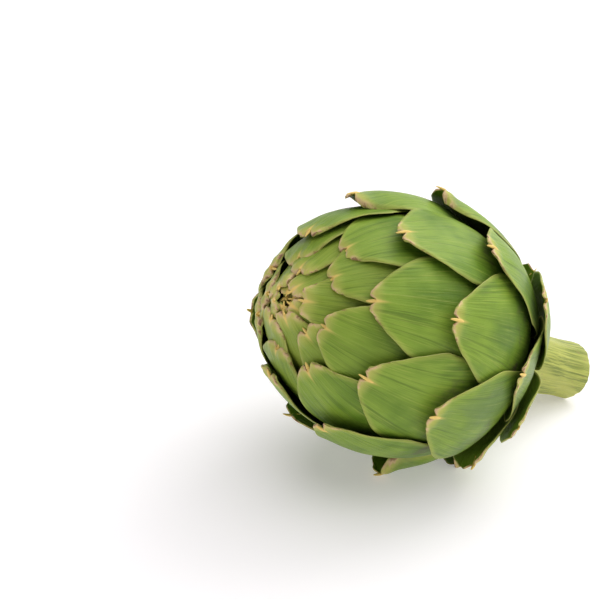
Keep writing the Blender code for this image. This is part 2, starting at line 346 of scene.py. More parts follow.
# Noises of the grain: how fine in each direction, detail and roughness.
LEAF_NOISES = {
    "fine": ((3.4, 0.07, 1.0), 3.0, 0.6),
    "lines": ((1.25, 0.028, 1.0), 3.0, 0.6),
    "cloud": ((0.10, 0.06, 1.0), 2.0, 0.55),
    "stain": ((0.26, 0.12, 1.0), 5.0, 0.65),
    "speck": ((0.6, 0.4, 1.0), 4.0, 0.55),
    "freckle": ((2.2, 1.4, 1.0), 2.0, 0.55),
}
STALK_NOISES = {
    "fibre": ((1.1, 1.1, 0.03), 3.0, 0.55),
    "hair": ((3.0, 3.0, 0.06), 3.0, 0.6),
    "fleck": ((0.7, 0.7, 0.3), 4.0, 0.55),
}
CHOKE_NOISE = ((900.0, 900.0, 900.0), 3.0, 0.55)
FLOOR_NOISE = ((60.0, 60.0, 60.0), 2.0, 0.55)

# Colours laid one over the other: the share and colour of each, and the fields it follows, with the
# values where it starts and where it is full.  Distances are in millimetres.
LEAF_BASE = ("cloud", 0.32, 0.68)
LEAF_LAYERS = (
    (0.85, YOUNG, (("age", 0.42, 0.12),)),
    (0.50, LEAF_LIGHT, (("from_tip", 20.0, 6.0),)),
    # Darker from 24 mm to 40 mm from the tip, towards the base that the outer bracts cover: painted
    # shade.
    (0.45, LEAF_DEEP, (("from_tip", 24.0, 40.0),)),
    (0.50, LEAF_DEEP, (("lines", 0.47, 0.30),)),
    (0.30, LEAF_LIGHT, (("lines", 0.55, 0.70),)),
    (0.30, LEAF_DEEP, (("fine", 0.48, 0.30),)),
    (0.22, LEAF_TIP, (("fine", 0.54, 0.72),)),
    (0.55, BLOOM, (("age", 0.5, 0.9), ("cloud", 0.60, 0.34))),
    (0.80, LEAF_TIP, (("from_tip", 5.5, 0.8),)),
    (0.25, LEAF_TIP, (("edge", 2.4, 0.5),)),
    (0.70, PURPLE, (("from_tip", 20.0, 36.0), ("stain", 0.50, 0.68))),
    (0.30, BROWN, (("freckle", 0.70, 0.78),)),
    (0.80, MARGIN, (("edge", 0.34, 0.10),)),
    (1.00, BLUSH, (("from_tip", 5.0, 1.5), ("edge", 2.4, 0.6), ("speck", 0.40, 0.52))),
    (0.85, BROWN, (("nibbled", -2.7, -3.5), ("from_tip", 9.0, 3.0))),
    (1.00, THORN, (("kind", 0.15, 0.8),)),
)
# How far specks eat into the margin's worn zone, and the limits of the inner face and its margin.
NIBBLE = -6.0
INNER_FACE = (-0.5, -1.0)
INNER_MARGIN = (1.0, 0.2)
STALK_BASE = ("fibre", 0.36, 0.62)
STALK_LAYERS = (
    (0.45, STALK_PALE, (("hair", 0.52, 0.70),)),
    # Darker in the furrows between the ribs: painted shade in the grooves.
    (0.55, STALK_FURROW_SHADE, (("furrow",),)),
    (0.75, STALK_PEELED, (("peeled",),)),
    (0.60, STALK_FLECK, (("fleck", 0.62, 0.72),)),
)
CUT_LIMITS = (0.4, 0.65)
CHOKE_LIMITS = (0.35, 0.65)

# Roughness, shine and bump of the surfaces.
LEAF_ROUGHNESS = 0.34
SPECK_ROUGHNESS = 0.25
LEAF_SHINE = 0.25
LEAF_BUMP = (0.8, 0.35 * MM)
FINE_BUMP = 0.5
SPECK_BUMP = 0.5
STALK_ROUGHNESS = 0.45
STALK_BUMP = (0.7, 0.5 * MM)
HAIR_BUMP = 0.6
CHOKE_ROUGHNESS = 0.65
FLOOR_ROUGHNESS = 0.7

# Camera and light.
VIEW_AZIMUTH = -33.65
VIEW_ELEVATION = 26.4
VIEW_DISTANCE = 588.0 * MM
AIM_LEFT = 36.0 * MM
AIM_ABOVE = 10.2 * MM
LENS = 100.0
FLOOR_GLOW = 0.3
SKY_LIGHT = 0.04
HORIZON_LIGHT = 0.88
HORIZON_BAND = (0.45, 0.22)
SUN_STRENGTH = 2.7
SUN_WIDTH = 95.0
SUN_FROM = (0.38, -0.1, 1.0)
SOFTBOX_POWER = 3.4
SOFTBOX_SIZE = 0.6
SOFTBOX_AT = (0.7, 0.1, 0.75)
SOFTBOX_AIM = (0.0, 0.0, 0.03)
FLOOR_SIZE = 8.0


def ramp(value, low, high):
    """0 below low, 1 above high, and a smooth step between them."""
    share = np.clip((value - low) / (high - low), 0.0, 1.0)
    return share * share * (3.0 - 2.0 * share)


PROFILE_CURVE = np.polynomial.Polynomial.fit(*np.array(PROFILE).T, 4)


def shell_radius(rank, latitude):
    """The distance of a bract's shell from the bud's middle."""
    return PROFILE_CURVE(latitude) * MM + LAYER * (rank - PROFILE_RANK)


def azimuth_of(rank):
    """The azimuth of the bract's mid-vein, in degrees round the bud's axis."""
    quirk = QUIRKS.get(rank, (0, 0))[0]
    twist = OUTER_TWIST * ramp(rank, *TWIST_RANKS)
    return FIRST_AZIMUTH - GOLDEN_ANGLE * (rank - 1) + twist + quirk


def tip_latitude(rank):
    """The tip's latitude; ranks below 1 are the tiny leaves of the pore."""
    if rank < 1:
        return 90.0 - CROWN_ANGLE[0] - PORE_LEAF_STEP * (rank - 1)
    if rank <= INNER_BRACTS:
        share = ((rank - 1) / (INNER_BRACTS - 1)) ** CROWN_CROWDING
        return 90.0 - CROWN_ANGLE[0] - (CROWN_ANGLE[1] - CROWN_ANGLE[0]) * share
    quirk = QUIRKS.get(rank, (0, 0))[1]
    turn = math.radians(TIP_STEP * (rank - INNER_BRACTS))
    return TIP_MIDDLE + TIP_SWING * math.cos(turn) + quirk


def base_latitude(rank):
    inner, outer = BASE_LATITUDE
    share = max(0.0, (rank - 1) / (BRACTS - 1))
    return inner + (outer - inner) * share**BASE_CROWDING


def lobe(azimuth, middle, width):
    """1 at the middle azimuth, falling smoothly to nothing about two widths to either side."""
    turn = (azimuth - middle + 180.0) % 360.0 - 180.0
    return np.exp(-((turn / width) ** 2))


def opening(rank, azimuth, latitude):
    """How far a bract of this rank stands out from its shell at one place."""
    side = OPEN_EVERYWHERE
    for middle, width, share in OPEN_SIDES:
        side = side + share * lobe(azimuth, middle, width)
    opened = OPENING * ramp(rank, *OPENING_RANKS) * side * ramp(latitude, *OPENING_LATITUDES)
    swell_side = lobe(azimuth, *SWELL_SIDE) * ramp(latitude, *SWELL_LATITUDES)
    return opened + SWELL * ramp(rank, *SWELL_RANKS) * swell_side


def widest_of(rank):
    widest = INNER_WIDEST + (WIDEST - INNER_WIDEST) * ramp(rank, *WIDENING_RANKS)
    return widest - (WIDEST - OUTER_WIDEST) * ramp(rank, *NARROWING_RANKS)


def size_of(rank):
    """The bract's width as a share of the widest one's."""
    return widest_of(rank) / WIDEST


def near_tip(from_tip, length):
    """1 at the tip, falling to 0 at this distance from it."""
    return np.clip(1.0 - from_tip / length, 0.0, 1.0)


def half_width(rank, from_tip, length):
    widest = widest_of(rank)
    widest_at = WIDEST_AT * widest / WIDEST
    rise = np.clip(from_tip / widest_at, 0.0, 1.0)
    fall = np.clip((from_tip - widest_at) / (length - widest_at), 0.0, 1.0)
    upper = SHOULDER + (widest - SHOULDER) * (STRAIGHTNESS * rise - (STRAIGHTNESS - 1.0) * rise**3)
    lower = CLAW + (widest - CLAW) * np.cos(0.5 * math.pi * fall) ** CLAW_ROUNDNESS
    return np.where(from_tip < widest_at, upper, lower)


def wobble(*coordinates):
    """Smooth noise, about -1 to 1, at each place of these coordinate arrays."""
    places = np.stack(np.broadcast_arrays(*coordinates), axis=-1)
    flat = [noise.noise(Vector(place)) for place in places.reshape(-1, 3)]
    return np.array(flat).reshape(places.shape[:-1])


# ---------------------------------------------------------------- from the bud's frame to the world


def bud_matrix():
    """The bud's own frame in the world: its middle, worked out from the stalk's cut end."""
    tilt = math.radians(TILT)
    low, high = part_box("heart_and_stalk")
    reach = stalk_length() * math.cos(tilt) + STALK_RADIUS * math.sin(tilt)
    middle = Vector((high[0] - reach, 0.5 * (low[1] + high[1]), BUD_HEIGHT))
    turn = Matrix.Rotation(math.pi, 4, "Z") @ Matrix.Rotation(math.radians(90.0 - TILT), 4, "Y")
    return Matrix.Translation(middle) @ turn


def stalk_length():
    tilt = math.radians(TILT)
    return (BUD_HEIGHT - STALK_RADIUS * math.cos(tilt)) / math.sin(tilt)


BUD_TO_WORLD = np.array(bud_matrix())


def to_world(points, floor=0.0):
    """Points of the bud's frame in the world, none below the ground."""
    world = points @ BUD_TO_WORLD[:3, :3].T + BUD_TO_WORLD[:3, 3]
    world[..., 2] = np.maximum(world[..., 2], floor)
    return world


def make_piece(name, points, faces, material, attributes):
    """A smooth mesh with these maps, riding on the only body."""
    mesh = bpy.data.meshes.new(name)
    mesh.from_pydata(points.tolist(), [], faces)
    mesh.update()
    mesh.shade_smooth()
    for label, values in attributes.items():
        layer = mesh.attributes.new(label, "FLOAT_VECTOR", "POINT")
        layer.data.foreach_set("vector", np.asarray(values, dtype=np.float32).ravel())
    mesh.materials.append(material)
    piece = bpy.data.objects.new(name, mesh)
    bpy.context.scene.collection.objects.link(piece)
    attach(piece, "root")
    return piece


# ---------------------------------------------------------------- a bract


def place(latitude, azimuth, radius):
    """Points of the bud's frame from their angles, in degrees, and their radius."""
    up = np.radians(latitude)
    around = np.radians(azimuth)
    level = radius * np.cos(up)
    return np.stack([level * np.cos(around), level * np.sin(around), radius * np.sin(up)], axis=-1)


def ragged_half(rank, across, from_tip, length):
    """The bract's half-width with the waves and small nicks of its margin, strongest by the tip."""
    side = np.sign(across)
    near = np.exp(-((from_tip / MARGIN_REACH) ** 2))
    slow = wobble(from_tip / MARGIN_WAVE_LENGTH, side * WAVE_SIDES, rank * WAVE_SEED)
    quick = wobble(from_tip / MARGIN_NICK_LENGTH, side * NICK_SIDES, rank * NICK_SEED)
    wave = MARGIN_WAVE * slow * (FAR_WAVE + (1.0 - FAR_WAVE) * near) + MARGIN_NICK * quick * near
    started = np.minimum(1.0, from_tip / MM)
    return half_width(rank, from_tip, length) + wave * started * size_of(rank)


def cut_back(rank, across, along, sideways, from_tip):
    """How far the tip's outline is drawn back: its notch, round corners and unevenness."""
    grown = YOUNG_NOTCH + (1.0 - YOUNG_NOTCH) * ramp(rank, *NOTCH_RANKS)
    notch = NOTCH_DEPTH * grown * np.exp(-((sideways / NOTCH_WIDTH) ** 2))
    corner = CORNER_ROUNDING * np.abs(across) ** 3
    uneven = TIP_ROUGHNESS * wobble(sideways / TIP_ROUGHNESS_WIDTH, along, rank * ROUGH_SEED)
    return (notch + corner + uneven) * near_tip(from_tip, TIP_REACH) ** 2


def tip_relief(rank, sideways, from_tip):
    """How far the face stands out near the tip, by its curl, tuck and lean, shoulders and mid-vein."""
    curl = CURL * ramp(rank, *CURL_RANKS) * near_tip(from_tip, CURL_LENGTH) ** 2
    kept = 1.0 - ramp(rank, *TUCK_FADES)
    tuck = CROWN_TUCK + (TUCK - CROWN_TUCK) * ramp(rank, *TUCK_GROWS) * kept
    tuck = tuck * kept * near_tip(from_tip, TUCK_LENGTH) ** 2
    leaning = ramp(rank, *LEAN_GROWS) * (1.0 - ramp(rank, *LEAN_FADES))
    leaning = leaning * lobe(azimuth_of(rank), *LEAN_SIDE)
    lean = LEAN * leaning * near_tip(from_tip, LEAN_LENGTH) ** 2
    beside, below = SHOULDER_PLACE
    apart = (np.abs(sideways) - beside) ** 2 + (from_tip - below) ** 2
    young = 1.0 - ramp(rank, *MATURING_RANKS)
    swell = SHOULDER_SWELL * (1.0 + YOUNG_SWELL * young) * np.exp(-apart / SHOULDER_SPREAD**2)
    ridge = np.exp(-((sideways / VEIN_WIDTH) ** 2)) * near_tip(from_tip, VEIN_LENGTH * size_of(rank))
    return curl - tuck - lean + swell + VEIN_HEIGHT * ridge, ridge


def arched(rank, across, down):
    """How far an outer bract on top or below arches out, and in at the margin that is drawn in."""
    height = 0.0
    for middle, width, low, high, rise, pull, side in ARCHES:
        share = ramp(rank, *ARCH_RANKS) * lobe(azimuth_of(rank), middle, width) * ramp(down, low, high)
        margin = np.clip(side * across, 0.0, 1.0) ** 2
        height = height + share * (rise * (1.0 - across**2) - pull * margin)
    return height


def ribbed(rank, sideways, from_tip, fan):
    """The fine ribs that fan out over the face, and its slow swags."""
    rib = wobble(fan / RIB_WIDTH, from_tip / RIB_LENGTH, rank * RIB_SEED)
    swag = wobble(sideways / SWAG_WIDTH, from_tip / SWAG_LENGTH, rank * SWAG_SEED)
    return RIB_HEIGHT * rib + SWAG_HEIGHT * size_of(rank) * swag


def margin_lift(rank, across, from_tip):
    """How far the margins stand off: they flutter and lift near the tip and hug the bud below."""
    flutter = wobble(from_tip / FLUTTER_LENGTH, np.sign(across) * FLUTTER_SIDES, rank * FLUTTER_SEED)
    near = np.exp(-((from_tip / MARGIN_REACH) ** 2))
    lift = FLUTTER * flutter * near + LIFT * ramp(from_tip, *LIFT_PLACE)
    lift = lift - HUG * ramp(from_tip, *HUG_PLACE)
    return np.abs(across) ** 4 * size_of(rank) * lift


def outside_of(rank, across, along):
    """The bract's outer face in the bud's frame, and its maps: fan, from the tip, edge, mid-vein."""
    tip = tip_latitude(rank)
    base = base_latitude(rank)
    down = tip + (base - tip) * along
    middle_radius = shell_radius(rank, 0.5 * (tip + base))
    from_tip = np.radians(tip - down) * middle_radius
    length = math.radians(tip - base) * middle_radius
    half = ragged_half(rank, across, from_tip, length)
    level = shell_radius(rank, down) * np.cos(np.radians(down))
    spread = np.minimum(np.degrees(half / level), WIDEST_TURN)
    azimuth = across * spread
    sideways = across * np.radians(spread) * level
    fan = sideways / (from_tip + FAN_CENTRE) * FAN_CENTRE
    latitude = down - np.degrees(cut_back(rank, across, along, sideways, from_tip) / middle_radius)

    relief, vein = tip_relief(rank, sideways, from_tip)
    radius = shell_radius(rank, down) + opening(rank, azimuth + azimuth_of(rank), down) + relief
    radius = radius - PORE_LEAF_DEPTH * (rank < 1) + arched(rank, across, down)
    radius = radius + ribbed(rank, sideways, from_tip, fan) + margin_lift(rank, across, from_tip)
    face = place(latitude, azimuth, radius)
    turn = math.radians(azimuth_of(rank))
    east, north = math.cos(turn), math.sin(turn)
    spin = np.array([[east, -north, 0.0], [north, east, 0.0], [0.0, 0.0, 1.0]])
    edge = np.minimum((1.0 - np.abs(across)) * half, from_tip)
    return face @ spin.T, fan, from_tip, edge, vein


def grid_faces(rows, columns, first, flip):
    """The faces of a grid of points that starts at this index."""
    faces = []
    for row in range(rows - 1):
        for column in range(columns - 1):
            corner = first + row * columns + column
            face = (corner, corner + 1, corner + columns + 1, corner + columns)
            faces.append(face[::-1] if flip else face)
    return faces


def border(rows, columns):
    """The grid's edge points, once round."""
    top = [column for column in range(columns)]
    right = [row * columns + columns - 1 for row in range(1, rows)]
    bottom = [(rows - 1) * columns + column for column in range(columns - 2, -1, -1)]
    left = [row * columns for row in range(rows - 2, 0, -1)]
    return top + right + bottom + left


def surface_normals(points):
    """The normals of a grid of points, all to the same side."""
    down = np.gradient(points, axis=0)
    across = np.gradient(points, axis=1)
    normals = np.cross(down, across)
    return normals / np.maximum(np.linalg.norm(normals, axis=-1, keepdims=True), 1e-12)


def thorn(rank, outer, normals):
    """A small hooked spine that leaves the mid-vein, passes through the notch and ends in a point."""
    grown = YOUNG_THORN + (1.0 - YOUNG_THORN) * ramp(rank, *THORN_RANKS)
    size = grown - THORN_LOSS * ramp(rank, *THORN_LOSS_RANKS)
    centre = COLUMNS // 2
    tip = outer[0, centre]
    inward = outer[THORN_ROOT_ROW, centre] - tip
    along = -inward / np.linalg.norm(inward)
    outwards = normals[THORN_SIDE_ROW, centre]
    sideways = np.cross(along, outwards)
    lean, hook = (noise.noise(Vector((rank * THORN_SEED, draw, 0.5))) for draw in THORN_DRAWS)
    bend = THORN_BEND * hook - THORN_DROOP
    turns = np.arange(THORN_SIDES) * 2.0 * math.pi / THORN_SIDES
    points = []
    for share in np.linspace(0.0, 1.0, THORN_RINGS):
        reach = size * (share * (THORN_LENGTH + NOTCH_DEPTH + THORN_ROOT) - THORN_ROOT)
        ahead = max(0.0, reach) / (THORN_LENGTH + NOTCH_DEPTH)
        rise = -THORN_DEPTH * (1.0 - share) ** 2 + THORN_HOOK * bend * ahead**1.5
        middle = tip + along * reach + outwards * rise + sideways * THORN_LEAN * lean * ahead
        taper = (THORN_NECK + (1.0 - THORN_NECK) * ramp(share, 0.0, 0.5)) * math.sqrt(1.0 - share**3)
        radius = THORN_POINT + THORN_RADIUS * size * taper
        for turn in turns:
            broad = sideways * math.cos(turn) * THORN_BREADTH
            points.append(middle + radius * (broad + outwards * math.sin(turn)))
    faces = []
    for ring in range(THORN_RINGS - 1):
        for step in range(THORN_SIDES):
            near = ring * THORN_SIDES
            far = near + THORN_SIDES
            after = (step + 1) % THORN_SIDES
            faces.append((near + step, near + after, far + after, far + step))
    faces.append(tuple(range(THORN_SIDES))[::-1])
    faces.append(tuple((THORN_RINGS - 1) * THORN_SIDES + step for step in range(THORN_SIDES)))
    return np.array(points), faces


def bract_thickness(rank, across, from_tip, edge):
    """The bract's thickness at each place, thin at every margin, and how far its face sinks there."""
    full = INNER_THICKNESS + (BRACT_THICKNESS - INNER_THICKNESS) * ramp(rank, *THICKENING_RANKS)
    at_tip = PLUMP_TIP + (THIN_TIP - PLUMP_TIP) * ramp(rank, *PLUMP_RANKS)
    side = 1.0 - (1.0 - EDGE_SHARE) * across**2 * ramp(from_tip, *THINNING_PLACE)
    share = side * (at_tip + (1.0 - at_tip) * ramp(from_tip, 0.0, PLUMP_LENGTH))
    rounding = np.sqrt(np.clip(edge / ROUNDING_WIDTH, 0.0, 1.0))
    roll = ROLL * np.clip(1.0 - edge / ROLL_WIDTH, 0.0, 1.0) ** 2 * ramp(from_tip, *ROLL_PLACE)
    sunk = 0.5 * EDGE_SHARE * full * at_tip * (1.0 - rounding) + roll
    return full * share * (RIM_SHARE + (1.0 - RIM_SHARE) * rounding), sunk


def bract_maps(rank, fan, from_tip, edge, vein, thorn_count):
    """The two maps the material reads at each point: the grain, and the zone of margin, age and kind."""
    age = np.full_like(edge, (rank - 1) / (BRACTS - 1))
    seed = rank * GRAIN_SEED
    grain = np.stack([fan / MM, from_tip / MM, np.full_like(fan, seed)], axis=-1).reshape(-1, 3)
    outside = np.stack([edge / MM, age, vein], axis=-1).reshape(-1, 3)
    inside = np.stack([edge / MM, age, np.full_like(edge, KIND_INSIDE)], axis=-1).reshape(-1, 3)
    thorn_grain = np.tile([0.0, 0.0, seed], (thorn_count, 1))
    thorn_zone = np.tile([THORN_EDGE, age[0, 0], KIND_THORN], (thorn_count, 1))
    return np.concatenate([grain, grain, thorn_grain]), np.concatenate([outside, inside, thorn_zone])


def bract_shape(rank):
    """A closed bract with its thorn: world points, faces, and the two maps its material reads."""
    steps = np.linspace(-1.0, 1.0, COLUMNS)
    columns = (1.0 - COLUMN_CROWDING) * steps + COLUMN_CROWDING * np.sin(0.5 * math.pi * steps)
    rows = np.linspace(0.0, 1.0, ROWS) ** ROW_CROWDING
    across, along = np.meshgrid(columns, rows)
    outer, fan, from_tip, edge, vein = outside_of(rank, across, along)
    normals = surface_normals(outer)
    facing = np.sign(np.sum(normals * outer, axis=-1).mean())
    radial = outer / np.linalg.norm(outer, axis=-1, keepdims=True)
    trust = ramp(edge, 0.0, ROLL_WIDTH)[..., None]
    normals = normals * facing * trust + radial * (1.0 - trust)
    normals = normals / np.linalg.norm(normals, axis=-1, keepdims=True)
    thickness, sunk = bract_thickness(rank, across, from_tip, edge)
    outer = outer - normals * sunk[..., None]
    inner = outer - normals * thickness[..., None]

    count = outer.size // 3
    faces = grid_faces(ROWS, COLUMNS, 0, facing > 0) + grid_faces(ROWS, COLUMNS, count, facing < 0)
    loop = border(ROWS, COLUMNS)
    for point, after in zip(loop, loop[1:] + loop[:1]):
        face = (point, after, count + after, count + point)
        faces.append(face[::-1] if facing < 0 else face)
    thorn_points, thorn_faces = thorn(rank, outer, normals)
    faces += [tuple(2 * count + corner for corner in face) for face in thorn_faces]
    outside = to_world(outer).reshape(-1, 3)
    inside = to_world(inner, INSIDE_ABOVE_GROUND).reshape(-1, 3)
    points = np.concatenate([outside, inside, to_world(thorn_points)])
    grain, zone = bract_maps(rank, fan, from_tip, edge, vein, len(thorn_points))
    return points, faces, grain, zone


def make_bract(rank, material):
    points, faces, grain, zone = bract_shape(rank)
    name = f"bract_{rank:02d}"
    piece = make_piece(f"{name}_leaf", points, faces, material, {"grain": grain, "zone": zone})
    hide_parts(name)


# ---------------------------------------------------------------- materials


def node(tree, kind, inputs=(), **settings):
    made = tree.nodes.new(kind)
    for key, value in settings.items():
        setattr(made, key, value)
    for key, value in dict(inputs).items():
        if isinstance(value, bpy.types.NodeSocket):
            tree.links.new(value, made.inputs[key])
        else:
            made.inputs[key].default_value = value
    return made


def maths(tree, operation, first, second):
    return node(tree, "ShaderNodeMath", {0: first, 1: second}, operation=operation).outputs[0]


def between(tree, value, low, high):
    """0 below low and 1 above high, or the other way round where low is the larger."""
    settings = {"Value": value, "From Min": low, "From Max": high}
    return node(tree, "ShaderNodeMapRange", settings, interpolation_type="SMOOTHSTEP").outputs[0]


def blend(tree, share, first, second):
    colours = [(*colour, 1.0) if isinstance(colour, tuple) else colour for colour in (first, second)]
    made = node(tree, "ShaderNodeMix", {0: share, 6: colours[0], 7: colours[1]}, data_type="RGBA")
    return made.outputs[2]


def grain_noise(tree, vector, stretch, detail, roughness):
    """Noise of a vector that is first scaled along each axis."""
    scaled = node(tree, "ShaderNodeVectorMath", {0: vector, 1: stretch}, operation="MULTIPLY")
    settings = {"Vector": scaled.outputs[0], "Scale": 1.0, "Detail": detail, "Roughness": roughness}
    return node(tree, "ShaderNodeTexNoise", settings).outputs[0]


def new_material(name):
    material = bpy.data.materials.new(name)
    material.use_nodes = True
    return material, material.node_tree, material.node_tree.nodes["Principled BSDF"]


def part_of(tree, share, value):
    return maths(tree, "MULTIPLY", value, share)


def grain_fields(tree, noises):
    """The noises of the piece's grain by name, the grain itself, and the three values of its zone."""
    grain = node(tree, "ShaderNodeAttribute", attribute_name="grain").outputs["Vector"]
    zone = node(tree, "ShaderNodeAttribute", attribute_name="zone").outputs["Vector"]
    fields = {name: grain_noise(tree, grain, *settings) for name, settings in noises.items()}
    return fields, grain, node(tree, "ShaderNodeSeparateXYZ", {0: zone}).outputs


def layered(tree, colour, layers, fields):
    """The colour with each layer laid over it, as strong as the product of the fields it follows."""
    for strength, over, follows in layers:
        for name, *limits in follows:
            field = between(tree, fields[name], *limits) if limits else fields[name]
            strength = part_of(tree, strength, field)
        colour = blend(tree, strength, colour, over)
    return colour


def add_bump(tree, shader, height, strength, distance):
    settings = {"Strength": strength, "Distance": distance, "Height": height}
    bump = node(tree, "ShaderNodeBump", settings)
    tree.links.new(bump.outputs[0], shader.inputs["Normal"])


def bract_material():
    material, tree, shader = new_material("bract_leaf")
    fields, grain, (edge, age, kind) = grain_fields(tree, LEAF_NOISES)
    speck = fields["speck"]
    fields["edge"] = edge
    fields["age"] = age
    fields["kind"] = kind
    fields["from_tip"] = node(tree, "ShaderNodeSeparateXYZ", {0: grain}).outputs[1]
    fields["nibbled"] = maths(tree, "ADD", edge, part_of(tree, NIBBLE, speck))

    base, *limits = LEAF_BASE
    colour = blend(tree, between(tree, fields[base], *limits), LEAF_GREEN, LEAF_LIGHT)
    colour = layered(tree, colour, LEAF_LAYERS, fields)
    inner = blend(tree, between(tree, edge, *INNER_MARGIN), INSIDE, MARGIN)
    colour = blend(tree, between(tree, kind, *INNER_FACE), colour, inner)
    tree.links.new(colour, shader.inputs["Base Color"])

    rough = maths(tree, "ADD", part_of(tree, SPECK_ROUGHNESS, speck), LEAF_ROUGHNESS)
    tree.links.new(rough, shader.inputs["Roughness"])
    shader.inputs["Specular IOR Level"].default_value = LEAF_SHINE
    height = maths(tree, "ADD", fields["lines"], part_of(tree, FINE_BUMP, fields["fine"]))
    height = maths(tree, "ADD", height, part_of(tree, SPECK_BUMP, speck))
    add_bump(tree, shader, height, *LEAF_BUMP)
    return material


def stalk_material():
    material, tree, shader = new_material("stalk_skin")
    fields, _, (furrow, peeled, cut) = grain_fields(tree, STALK_NOISES)
    fields["furrow"] = furrow
    fields["peeled"] = peeled
    base, *limits = STALK_BASE
    colour = blend(tree, between(tree, fields[base], *limits), STALK_DARK, STALK_LIGHT)
    colour = layered(tree, colour, STALK_LAYERS, fields)
    face = blend(tree, between(tree, fields["fleck"], *CUT_LIMITS), CUT_PALE, CUT_GREEN)
    colour = blend(tree, cut, colour, face)
    tree.links.new(colour, shader.inputs["Base Color"])
    shader.inputs["Roughness"].default_value = STALK_ROUGHNESS
    height = maths(tree, "ADD", fields["fibre"], part_of(tree, HAIR_BUMP, fields["hair"]))
    add_bump(tree, shader, height, *STALK_BUMP)
    return material


def choke_material():
    material, tree, shader = new_material("choke_hairs")
    where = node(tree, "ShaderNodeTexCoord").outputs["Object"]
    straw = grain_noise(tree, where, *CHOKE_NOISE)
    colour = blend(tree, between(tree, straw, *CHOKE_LIMITS), CHOKE_DARK, CHOKE_PALE)
    tree.links.new(colour, shader.inputs["Base Color"])
    shader.inputs["Roughness"].default_value = CHOKE_ROUGHNESS
    return material


def floor_material():
    """A pale sheet, faintly lit from below like a light table, which keeps its shadows pale."""
    material, tree, shader = new_material("pale_floor")
    where = node(tree, "ShaderNodeTexCoord").outputs["Object"]
    faint = grain_noise(tree, where, *FLOOR_NOISE)
    colour = blend(tree, faint, FLOOR_DARK, FLOOR_PALE)
    tree.links.new(colour, shader.inputs["Base Color"])
    shader.inputs["Roughness"].default_value = FLOOR_ROUGHNESS
    shader.inputs["Emission Color"].default_value = FLOOR_LIGHT
    shader.inputs["Emission Strength"].default_value = FLOOR_GLOW
    return material


# ---------------------------------------------------------------- heart and stalk, choke, innermost bud


def meridian(rank, latitude, inset):
    """The radius and height about the bud's axis of a place on a shell, drawn in by the inset."""
    radius = shell_radius(rank, latitude) - inset
    angle = math.radians(latitude)
    return radius * math.cos(angle), radius * math.sin(angle)


def heart_side():
    """The heart's outline below the bracts' bases, from its rim to the stalk."""
    points = []
    for rank in np.linspace(1, BRACTS, HEART_STEPS):
        points.append(meridian(rank, base_latitude(rank) - BASE_CLEARANCE, 0.0))
    return points


def lathe_faces(rings, turns):
    faces = []
    for ring in range(rings - 1):
        for step in range(turns):
            after = (step + 1) % turns
            near = ring * turns
            faces.append((near + step, near + turns + step, near + turns + after, near + after))
    return faces


def closed_lathe(profile, turns, relief):
    """A closed body turned about the bud's axis from its first point on the axis to its last."""
    angles = np.arange(turns) * 2.0 * math.pi / turns
    radii = np.array([point[0] for point in profile[1:-1]])
    heights = np.array([point[1] for point in profile[1:-1]])
    radius = np.repeat(radii[:, None], turns, axis=1)
    height = np.repeat(heights[:, None], turns, axis=1)
    angle = np.repeat(angles[None, :], len(radii), axis=0)
    radius, height = relief(radius, height, angle)
    body = np.stack([radius * np.cos(angle), radius * np.sin(angle), height], axis=-1).reshape(-1, 3)
    points = np.concatenate([body, [[0.0, 0.0, profile[0][1]], [0.0, 0.0, profile[-1][1]]]])
    faces = lathe_faces(len(radii), turns)
    first = len(body)
    last_ring = (len(radii) - 1) * turns
    for step in range(turns):
        after = (step + 1) % turns
        faces.append((first, step, after))
        faces.append((first + 1, last_ring + after, last_ring + step))
    return points, faces


def stalk_ribs(east, north, height):
    """Long ridges and peeled patches of the stalk: two maps from about -1 to 1 and from 0 to 1."""
    ridge = wobble(east / STALK_RIB_WIDTH, north / STALK_RIB_WIDTH, height / STALK_RIB_LENGTH)
    patches = wobble(east / PEEL_WIDTH, north / PEEL_WIDTH, height / PEEL_LENGTH)
    return ridge, ramp(patches, *PEEL_LIMITS)


def stalk_relief(radius, height, angle):
    """The stalk's skin, swollen and ribbed, and its rough cut end."""
    length = stalk_length()
    starts, full = SKIN_STARTS
    inside, outside = SKIN_RADIUS
    on_stalk = ramp(-height, starts * length, full * length)
    east, north = STALK_RADIUS * np.cos(angle), STALK_RADIUS * np.sin(angle)
    ridge, peeled = stalk_ribs(east, north, height)
    side = on_stalk * ramp(radius, inside * STALK_RADIUS, outside * STALK_RADIUS)
    low, high = SWELL_ENDS
    swollen = SWELL_AT_CUT + (1.0 - SWELL_AT_CUT) * ramp(-height, low * length, high * length)
    ribs = STALK_RIB * (ridge + STALK_RIB_LIFT) - PEEL_DEPTH * peeled
    radius = radius + side * (ribs + STALK_SWELL * swollen)
    at_end = ramp(-height, length - CUT_ROUGHNESS_DEPTH, length)
    around = (east / CUT_ROUGHNESS_AROUND, north / CUT_ROUGHNESS_AROUND)
    rough = wobble(*around, radius / CUT_ROUGHNESS_ACROSS)
    off_middle = ramp(radius, 0.0, CUT_SMOOTH_MIDDLE * STALK_RADIUS)
    height = height + at_end * CUT_ROUGHNESS * (rough + 1.0) * off_middle
    return radius, height


def stalk_outline(start, end):
    """The stalk's outline from the heart down to its rim, and in over the cut to the axis."""
    outline = [(STALK_RADIUS, start)]
    for height in np.linspace(start - RINGS_FROM, end + RINGS_TO, STALK_RINGS):
        waist = ramp(start - height, 0.0, WAIST_LENGTH) * ramp(height - end, STALK_RIM, STALK_TAPER)
        outline.append((STALK_RADIUS - (STALK_RADIUS - STALK_WAIST) * waist, height))
    outline.append((STALK_RADIUS, end + STALK_RIM))
    outline.append((STALK_RADIUS, end + RIM_HEIGHT))
    outline.append((RIM_RADIUS * STALK_RADIUS, end))
    return outline + [(share * STALK_RADIUS, end) for share in CUT_RINGS]


